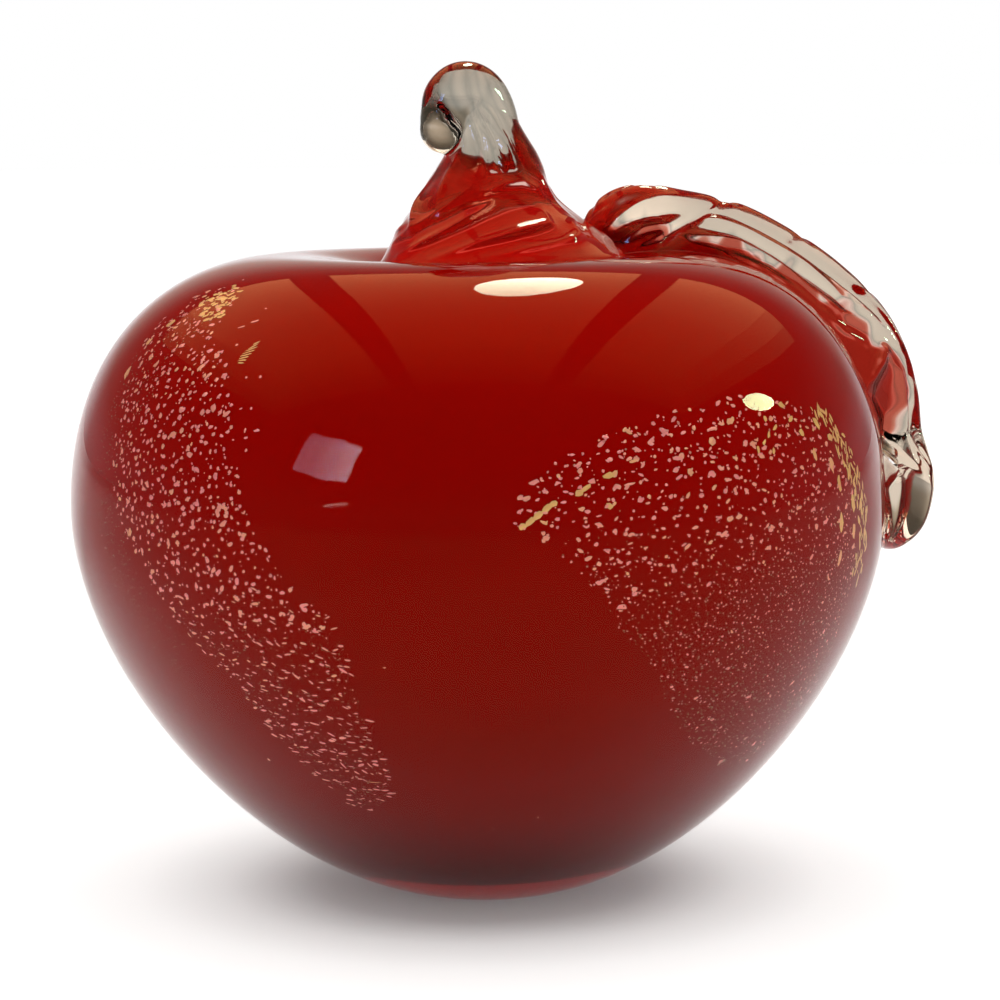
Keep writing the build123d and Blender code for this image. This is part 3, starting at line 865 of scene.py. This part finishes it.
def buildFlakes(name, flakes, seed):
    points = flakePoints(flakes, np.random.default_rng(seed))
    corners = goldLook["corners"]
    k = np.arange(corners)
    after = 1 + (k + 1) % corners
    fan = np.concatenate([np.stack([0 * k, 1 + k, after], -1),
                          np.stack([0 * k + corners + 1, after, 1 + k], -1)])
    faces = (fan[None] + (corners + 2) * np.arange(len(flakes))[:, None, None]).reshape(-1, 3)
    piece = buildMesh(name, points, faces.tolist(), smooth=False)
    storeValue(piece, "tone", np.repeat(flakes[:, 5], corners + 2))
    return piece


def crumbs(outline, spacing, share, size, rng, stretch=(1.0, 1.0), lean=0.0, tone=0.15):
    # one layer of flakes; share(x, y) is how many of the points carry one
    x, y = scatterIn(outline, spacing, rng)
    kept = rng.random(len(x)) < share(x, y)
    x, y = x[kept], y[kept]
    n = len(x)
    reach = rng.uniform(size[0], size[1], n) * rng.choice([0.8, 1.0, 1.25], n)
    wide = rng.uniform(stretch[0], stretch[1], n)
    turn = lean + rng.normal(0, 22, n)
    tones = np.clip(tone + rng.normal(0, 0.12, n), tone - 0.08, 1)
    # painted shade: the flakes' tone drops towards the bottom
    tones -= goldLook["paintedLowShade"] * (1 - smoothStep(y, *goldLook["lowSpan"]))
    return np.stack([x, y, reach * wide, reach / np.sqrt(wide), turn, tones], -1)


def withLobes(flakes, part, rng):
    # some flakes get two smaller lobes, so that their outline is ragged
    host = flakes[rng.random(len(flakes)) < part]
    host = np.repeat(host, 2, 0)
    way = rng.uniform(0, 2 * pi, len(host))
    lobe = host.copy()
    lobe[:, 0] += np.cos(way) * host[:, 2] * 0.95 / perDegree
    lobe[:, 1] += np.sin(way) * host[:, 3] * 0.95
    lobe[:, 2:4] *= rng.uniform(0.35, 0.8, (len(host), 1))
    lobe[:, 4] = rng.uniform(-90, 90, len(host))
    return np.concatenate([flakes, lobe])


def evenly(share):
    return lambda x, y: np.full(len(y), share)


def goldRight():
    rng = np.random.default_rng(41)

    def coarse(x, y):
        return smoothStep(y + 0.10 * (35 - x), 44, 56)

    # thin slivers, almost closed, down the limb
    limb = [(61, 66), (66, 65.5), (72, 61), (78, 54), (80, 48), (79, 43), (74, 44), (75, 50), (71, 56),
            (65, 62)]
    layers = [
        withLobes(crumbs(rightWedge, 1.42, lambda x, y: 0.05 + 0.80 * coarse(x, y),
                         (0.19, 0.34), rng, (0.9, 1.8), 5), 0.25, rng),
        crumbs(rightWedge, 1.10, lambda x, y: 0.40 - 0.05 * coarse(x, y), (0.10, 0.17), rng,
               (0.8, 1.5), 0, 0.05),
        crumbs(rightWedge, 0.90, lambda x, y: 0.88 * (1 - coarse(x, y)), (0.08, 0.14), rng,
               (0.9, 1.7), -10, 0.05),
        crumbs(rightWedge, 0.70, lambda x, y: 0.42 * (1 - smoothStep(y, 40, 58)), (0.05, 0.095),
               rng, (0.8, 1.4), -10, -0.22),
        crumbs(limb, 0.95, evenly(0.9), (0.30, 0.55), rng, (0.4, 0.6), 8, 0.75),
    ]
    # larger yellow pieces: degrees round, height, half width, half height, turn, tone
    pieces = [
        (6.4, 54.5, 0.62, 0.45, 20, 0.8), (7.4, 55.1, 0.75, 0.42, 40, 1),
        (8.6, 55.8, 0.75, 0.4, 35, 1), (9.8, 56.6, 0.8, 0.44, 35, 1),
        (10.8, 57.1, 0.55, 0.42, 20, 0.9), (7, 57.8, 0.55, 0.35, 15, 0.3),
        (14.6, 58.3, 0.6, 0.45, 20, 0.7), (15.6, 58.8, 0.75, 0.34, 35, 0.9),
        (19, 60.1, 0.7, 0.42, 15, 0.9), (20, 60.3, 0.45, 0.35, 50, 0.6),
        (19, 56.6, 0.55, 0.4, -30, 0.7), (19.7, 56.8, 0.45, 0.2, 40, 0.5),
        (23, 61.6, 0.7, 0.22, 15, 0.5), (22.4, 61.9, 0.45, 0.25, 25, 0.2),
        (22.2, 59, 0.75, 0.17, 10, 0.2), (31, 61.8, 0.6, 0.45, 60, 0.3),
        (37, 63.2, 0.65, 0.5, 10, 0.4), (41, 65.2, 0.5, 0.4, 30, 0.4),
        (46, 61.7, 0.3, 0.55, 10, 0.8), (47.6, 62.4, 0.5, 0.22, 45, 0.9),
        (49, 63.2, 0.55, 0.24, 50, 1), (50.8, 63.9, 0.5, 0.26, 30, 0.8),
        (49, 65.1, 0.35, 0.4, 0, 0.7), (49.4, 61.3, 0.3, 0.5, -20, 0.7),
        (54, 66.3, 0.7, 0.4, -20, 0.9), (55.4, 64.6, 0.55, 0.3, 30, 1),
        (57.4, 62.9, 0.6, 0.45, -35, 1), (60, 60, 0.45, 0.9, 10, 0.6),
        (62.5, 63.6, 0.55, 0.9, 25, 0.8), (65, 58.5, 0.5, 1.1, 15, 0.5),
        (67, 56, 0.5, 1.2, 10, 0.8), (67.2, 51.5, 0.5, 1.3, 0, 0.7), (67.5, 47, 0.45, 1.2, -5, 0.5),
        (72, 53.4, 0.6, 1.2, 8, 0.8), (72.4, 50, 0.55, 1.1, 0, 0.6),
    ]
    return np.concatenate(layers + [np.array(pieces, float)])


def goldLeft():
    rng = np.random.default_rng(17)

    def low(y):
        return 1 - smoothStep(y, 38, 48)

    cap = [(-70, 76.8), (-66, 78.6), (-59, 77.8), (-55, 76.0), (-60, 75.4), (-66, 76.2)]
    haze = [(-76, 72), (-70, 77), (-62, 78), (-56, 75), (-60, 68), (-66, 58), (-62, 48), (-50, 38),
            (-58, 34), (-70, 44), (-76, 58)]
    layers = [
        withLobes(crumbs(leftBand, 1.28, lambda x, y: 0.84 * (1 - low(y)), (0.19, 0.34), rng,
                         (0.8, 1.5), 30), 0.25, rng),
        crumbs(leftBand, 1.30, lambda x, y: 0.82 * low(y), (0.15, 0.26), rng, (1.4, 2.6), -10, 0.25),
        crumbs(leftBand, 1.00, evenly(0.34), (0.09, 0.15), rng, (0.8, 1.6), 10, 0.1),
        crumbs(leftBand, 0.72, lambda x, y: 0.60 * low(y), (0.05, 0.09), rng, (0.8, 1.6), -10, -0.2),
        crumbs(cap, 0.62, evenly(0.92), (0.24, 0.40), rng, (1.0, 1.6), 20, 0.9),
        crumbs(haze, 0.66, evenly(0.55), (0.05, 0.10), rng, (0.8, 1.6), 10, -0.3),
    ]
    # a curled piece: blobs along three quarters of a ring, then pieces near the limb
    ring = np.radians(np.linspace(-30, 210, 8))
    curl = np.stack([-39.2 + np.cos(ring) * 0.9, 55.2 + np.sin(ring) * 0.7, np.full(8, 0.36),
                     np.full(8, 0.30), np.degrees(ring), np.full(8, 0.3)], -1)
    pieces = [
        (-73.5, 72.5, 0.7, 0.6, 30, 0.6), (-71, 74.6, 0.9, 0.5, 35, 0.6),
        (-74.5, 69, 0.6, 0.9, 0, 0.5), (-52, 63.5, 0.7, 0.45, 20, 0.3),
        (-44, 67, 0.6, 0.5, -10, 0.2), (-47, 61.5, 0.55, 0.45, 0, 0.2),
    ]
    return np.concatenate(layers + [curl, np.array(pieces)])


def goldStrays():
    # the ribbed feather fleck is a fan of parallel slivers; the rest are single strays
    step = np.linspace(-1, 1, 8)
    feather = np.stack([-41.4 + 0.5 * step, 73.1 + 1.05 * step, 0.95 - 0.35 * step ** 2,
                        np.full(8, 0.115), 24 + 20 * step, np.full(8, 0.8)], -1)
    singles = [
        (-45.4, 76.1, 0.65, 0.16, 28, 0.2), (-47.4, 75.5, 0.65, 0.15, 22, 0.2),
        (-46, 77.2, 0.22, 0.14, 20, 0.2), (-45.2, 73.8, 0.3, 0.2, 20, 0.2),
        (-39.2, 70.6, 0.18, 0.18, 0, 0.1), (-36.4, 70.8, 0.2, 0.2, 0, 0.1),
        (-38.2, 67.2, 0.28, 0.13, 20, 0.1), (-36.2, 67.3, 0.2, 0.18, 0, 0.1),
        (-34.2, 64.9, 0.45, 0.17, 10, 0.1), (-36.4, 64.8, 0.16, 0.34, 0, 0.1),
        (-36, 64, 0.34, 0.14, 10, 0.1), (-35.6, 62.6, 0.2, 0.22, 0, 0.1),
        (-32, 35.5, 0.3, 0.08, -5, 0.4), (-14, 37.6, 0.25, 0.1, 0, 0.3),
        (-22, 22, 1.2, 0.06, 0, 0.5), (-45, 24, 0.25, 0.25, 0, 0.3), (14, 17, 0.12, 0.22, 0, 0.4),
        (3, 15.5, 0.1, 0.14, 0, 0.4),
    ]
    return np.concatenate([feather, np.array(singles)])


def goldMetal():
    # beaten leaf: dull as dust, rose where it is thin, yellow where it is whole, with a
    # fine crumpled grain
    look = goldLook
    material, tree, shader, place = newMaterial("goldLeaf")
    grain = noiseAt(tree, place, look["grainScale"], 3.0)
    mix = mathOf(tree, "MULTIPLY_ADD", grain, look["grainShare"], attributeOf(tree, "tone"))
    stops = list(zip(look["stops"], (look["dust"], look["rose"], look["yellow"])))
    tree.links.new(rampOf(tree, mix, stops), shader["Base Color"])
    shader["Metallic"].default_value = look["metal"]
    smoothest, roughest = look["rough"] - look["roughSpan"], look["rough"] + look["roughSpan"]
    rough = spreadOf(tree, grain, (0, 1), (smoothest, roughest))
    tree.links.new(rough, shader["Roughness"])
    return material


goldLeaf = goldMetal()
for name, flakes, node, seed in (("goldFlakesRight", goldRight(), "gold_leaf_right", 5),
                                 ("goldFlakesLeft", goldLeft(), "gold_leaf_left", 6),
                                 ("goldStrays", goldStrays(), "gold_leaf_flecks", 7)):
    piece = buildFlakes(name, flakes, seed)
    piece.data.materials.append(goldLeaf)
    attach(piece, "root")
    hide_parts(node)
    print(name, len(flakes), "flakes")

floorLook = {
    "radius": 6.0, "colour": (0.62, 0.62, 0.62), "grain": 0.985, "grainScale": 60.0, "sink": 0.0001,
    # the paper's own brightness grows away from the object, where the lamps fall off; it is held low by
    # the foot as a painted shadow and dips again round the object as painted shade: metres from the
    # object's middle, brightness
    "glow": [(0.015, 0.10), (0.025, 0.24), (0.035, 0.47), (0.045, 0.60), (0.07, 0.62), (0.11, 0.52),
             (0.18, 0.44), (0.33, 0.48), (0.6, 0.60), (1.2, 0.82), (1.8, 0.90), (3.0, 1.0)],
    # towards the sides and the front it is dimmer, as painted shade that darkens the floor seen in the
    # glass: share there, metres between which that sets in, sines of the angle from the side between
    # which it ends
    "side": 0.25, "sideSpan": (0.09, 0.30), "sideSine": (0.68, 0.89),
}


def seenRays(tree):
    # 1 on the rays of the camera, of mirrors and of clear glass
    path = tree.nodes.new("ShaderNodeLightPath").outputs
    seen = mathOf(tree, "MAXIMUM", path["Is Camera Ray"], path["Is Glossy Ray"])
    return mathOf(tree, "MAXIMUM", seen, path["Is Transmission Ray"])


def vectorOf(tree, operation, source):
    step = tree.nodes.new("ShaderNodeVectorMath")
    step.operation = operation
    tree.links.new(source, step.inputs[0])
    return step.outputs


def paperGlowAndShade(tree, place):
    # the paper's glow, with a painted shadow by the foot, a painted shade ring round it and painted
    # shade to the sides and front
    reach = vectorOf(tree, "LENGTH", place)["Value"]
    farthest = floorLook["glow"][-1][0]
    brightness = rampOf(tree, spreadOf(tree, reach, (0, farthest)),
                        [(away / farthest, (glow,) * 3) for away, glow in floorLook["glow"]])
    way = vectorOf(tree, "NORMALIZE", place)["Vector"]
    behind = spreadOf(tree, axesOf(tree, way)["Y"], floorLook["sideSine"], eased=True)
    near = spreadOf(tree, reach, floorLook["sideSpan"], (1, 0), eased=True)
    share = spreadOf(tree, mathOf(tree, "MAXIMUM", behind, near), (0, 1), (floorLook["side"], 1))
    return mathOf(tree, "MULTIPLY", brightness, share)


def buildFloor():
    angle = np.linspace(0, 2 * pi, 96, endpoint=False)
    points = np.stack([np.cos(angle), np.sin(angle), 0 * angle], -1) * floorLook["radius"] / mm
    floor = buildMesh("paleFloor", points, [list(range(96))], smooth=False)
    material, tree, shader, place = newMaterial("paleFloorPaper")
    grain = noiseAt(tree, place, floorLook["grainScale"], 5.0)
    dull = [v * floorLook["grain"] for v in floorLook["colour"]]
    tree.links.new(rampOf(tree, grain, [(0.3, dull), (0.7, floorLook["colour"])]), shader["Base Color"])
    shader["Roughness"].default_value = 0.9
    shader["Specular IOR Level"].default_value = 0.0
    shader["Emission Color"].default_value = (1, 1, 1, 1)
    glow = mathOf(tree, "MULTIPLY", seenRays(tree), paperGlowAndShade(tree, place))
    tree.links.new(glow, shader["Emission Strength"])
    floor.data.materials.append(material)
    floor.location.z = -floorLook["sink"]


buildFloor()

roomLook = {
    # along the horizon white, overhead dim and warm: sine of the elevation, colour
    "light": [(-0.02, (1.0, 1.0, 1.0)), (0.06, (1.0, 1.0, 1.0)), (0.16, (0.62, 0.57, 0.50)),
              (0.40, (0.26, 0.235, 0.19)), (1.0, (0.13, 0.115, 0.09))],
    # dimmer at the object's sides and front: share there, sines from the side where it ends
    "dim": 0.38, "dimSine": (0.80, 0.97),
}


def buildRoom():
    world = bpy.data.worlds.new("studioRoom")
    bpy.context.scene.world = world
    world.use_nodes = True
    tree = world.node_tree
    way = axesOf(tree, tree.nodes.new("ShaderNodeTexCoord").outputs["Generated"])
    colour = rampOf(tree, spreadOf(tree, way["Z"], (-1, 1)),
                    [((height + 1) / 2, tone) for height, tone in roomLook["light"]])
    tree.links.new(colour, tree.nodes["Background"].inputs["Color"])
    back = spreadOf(tree, way["Y"], roomLook["dimSine"], (roomLook["dim"], 1), eased=True)
    tree.links.new(back, tree.nodes["Background"].inputs["Strength"])


buildRoom()

# lamps that show in the glass: the way towards each one as degrees round from the front and
# degrees up, how far off it is, its size, the brightness of its face, colour, round, roll
lamps = {
    "roundLamp": ((173, 53), 1.3, (0.22, 0.50), 14.0, (0.80, 1.0, 0.76), True, 0),
    "sideLamp": ((95, 26), 1.5, (0.30, 0.15), 50.0, (0.56, 1.0, 0.66), True, -20),
    "dayWindowLeft": ((-47.5, 21.5), 1.5, (0.17, 0.37), 15.0, (0.24, 0.41, 1.0), False, -10),
    "dayWindowMiddle": ((-41.5, 20.5), 1.5, (0.12, 0.40), 26.0, (0.24, 0.42, 1.0), False, -10),
    "farLamp": ((-38, 5.5), 1.7, (0.20, 0.035), 16.0, (0.5, 0.6, 1.0), True, 12),
    "dayWindowRight": ((-36.5, 19.8), 1.5, (0.12, 0.36), 42.0, (0.26, 0.45, 1.0), False, -10),
}
lampAim = 0.06  # height that the lamps face
# three ceiling panels with dark gaps between them show in the glass too; the key is the soft
# light that falls on everything
ceiling = {"height": 1.0, "glow": 0.40, "colour": (1.0, 0.46, 0.18),
           "panels": [(-1.35, -0.39), (-0.28, 0.31), (0.43, 1.40)],
           "fronts": (-0.62, -0.45, -0.25), "sides": (1.40, 1.18, 0.95), "back": 1.45,
           "layerGap": 0.005}
key = {"size": (2.4, 2.0), "at": (0.0, 0.1, 1.1), "glow": 1.45, "colour": (1.0, 0.985, 0.965)}


def addLamp(name, size, glow, colour, isRound=False, onlyGloss=True):
    # with onlyGloss the lamp shows as a reflection and lights nothing; otherwise it lights
    # and doesn't show
    data = bpy.data.lights.new(name, "AREA")
    data.shape = "ELLIPSE" if isRound else "RECTANGLE"
    data.size, data.size_y = size
    area = size[0] * size[1] * (pi / 4 if isRound else 1)
    data.energy = glow * area * 4
    data.color = colour
    lamp = bpy.data.objects.new(name, data)
    lamp.visible_camera = False
    lamp.visible_diffuse = not onlyGloss
    lamp.visible_transmission = not onlyGloss
    lamp.visible_glossy = onlyGloss
    bpy.context.scene.collection.objects.link(lamp)
    return lamp


for name, (aim, far, size, glow, colour, isRound, roll) in lamps.items():
    side, up = (radians(v) for v in aim)
    way = Vector((sin(side) * cos(up), -cos(side) * cos(up), sin(up)))
    lamp = addLamp(name, size, glow, colour, isRound)
    turned = way.to_track_quat("Z", "Y") @ Quaternion((0, 0, 1), radians(roll))
    lamp.location = way * far + Vector((0, 0, lampAim))
    lamp.rotation_euler = turned.to_euler()
for index, (left, right) in enumerate(ceiling["panels"]):
    # three lamps on top of one another, so that the front end and the outer sides fade
    for layer, (front, side) in enumerate(zip(ceiling["fronts"], ceiling["sides"])):
        start, end = max(left, -side), min(right, side)
        lamp = addLamp(f"ceilingPanel{index}{layer}", (end - start, ceiling["back"] - front),
                       ceiling["glow"], ceiling["colour"])
        lamp.location = ((start + end) / 2, (front + ceiling["back"]) / 2,
                         ceiling["height"] + ceiling["layerGap"] * layer)
lamp = addLamp("softKey", key["size"], key["glow"], key["colour"], onlyGloss=False)
lamp.location = key["at"]

# the photograph's view: what the camera faces in millimetres, metres away, degrees down,
# degrees of roll
cameraLook = {"target": (2.87, 0, 51.8), "far": 0.42, "down": 7.0, "roll": -0.4,
              "lens": 112.3, "sensor": 36.0, "near": 0.01}


def setCamera():
    data = bpy.data.cameras.new("photoCamera")
    data.lens = cameraLook["lens"]
    data.sensor_width = cameraLook["sensor"]
    data.clip_start = cameraLook["near"]
    camera = bpy.data.objects.new("photoCamera", data)
    bpy.context.scene.collection.objects.link(camera)
    down = radians(cameraLook["down"])
    stand = Vector(cameraLook["target"]) * mm + Vector((0, -cos(down), sin(down))) * cameraLook["far"]
    camera.matrix_world = (Matrix.Translation(stand) @ Matrix.Rotation(pi / 2 - down, 4, "X")
                           @ Matrix.Rotation(radians(cameraLook["roll"]), 4, "Z"))
    bpy.context.scene.camera = camera


setCamera()
bpy.context.scene.view_settings.view_transform = "Standard"
print("floor, room, lamps and camera set")
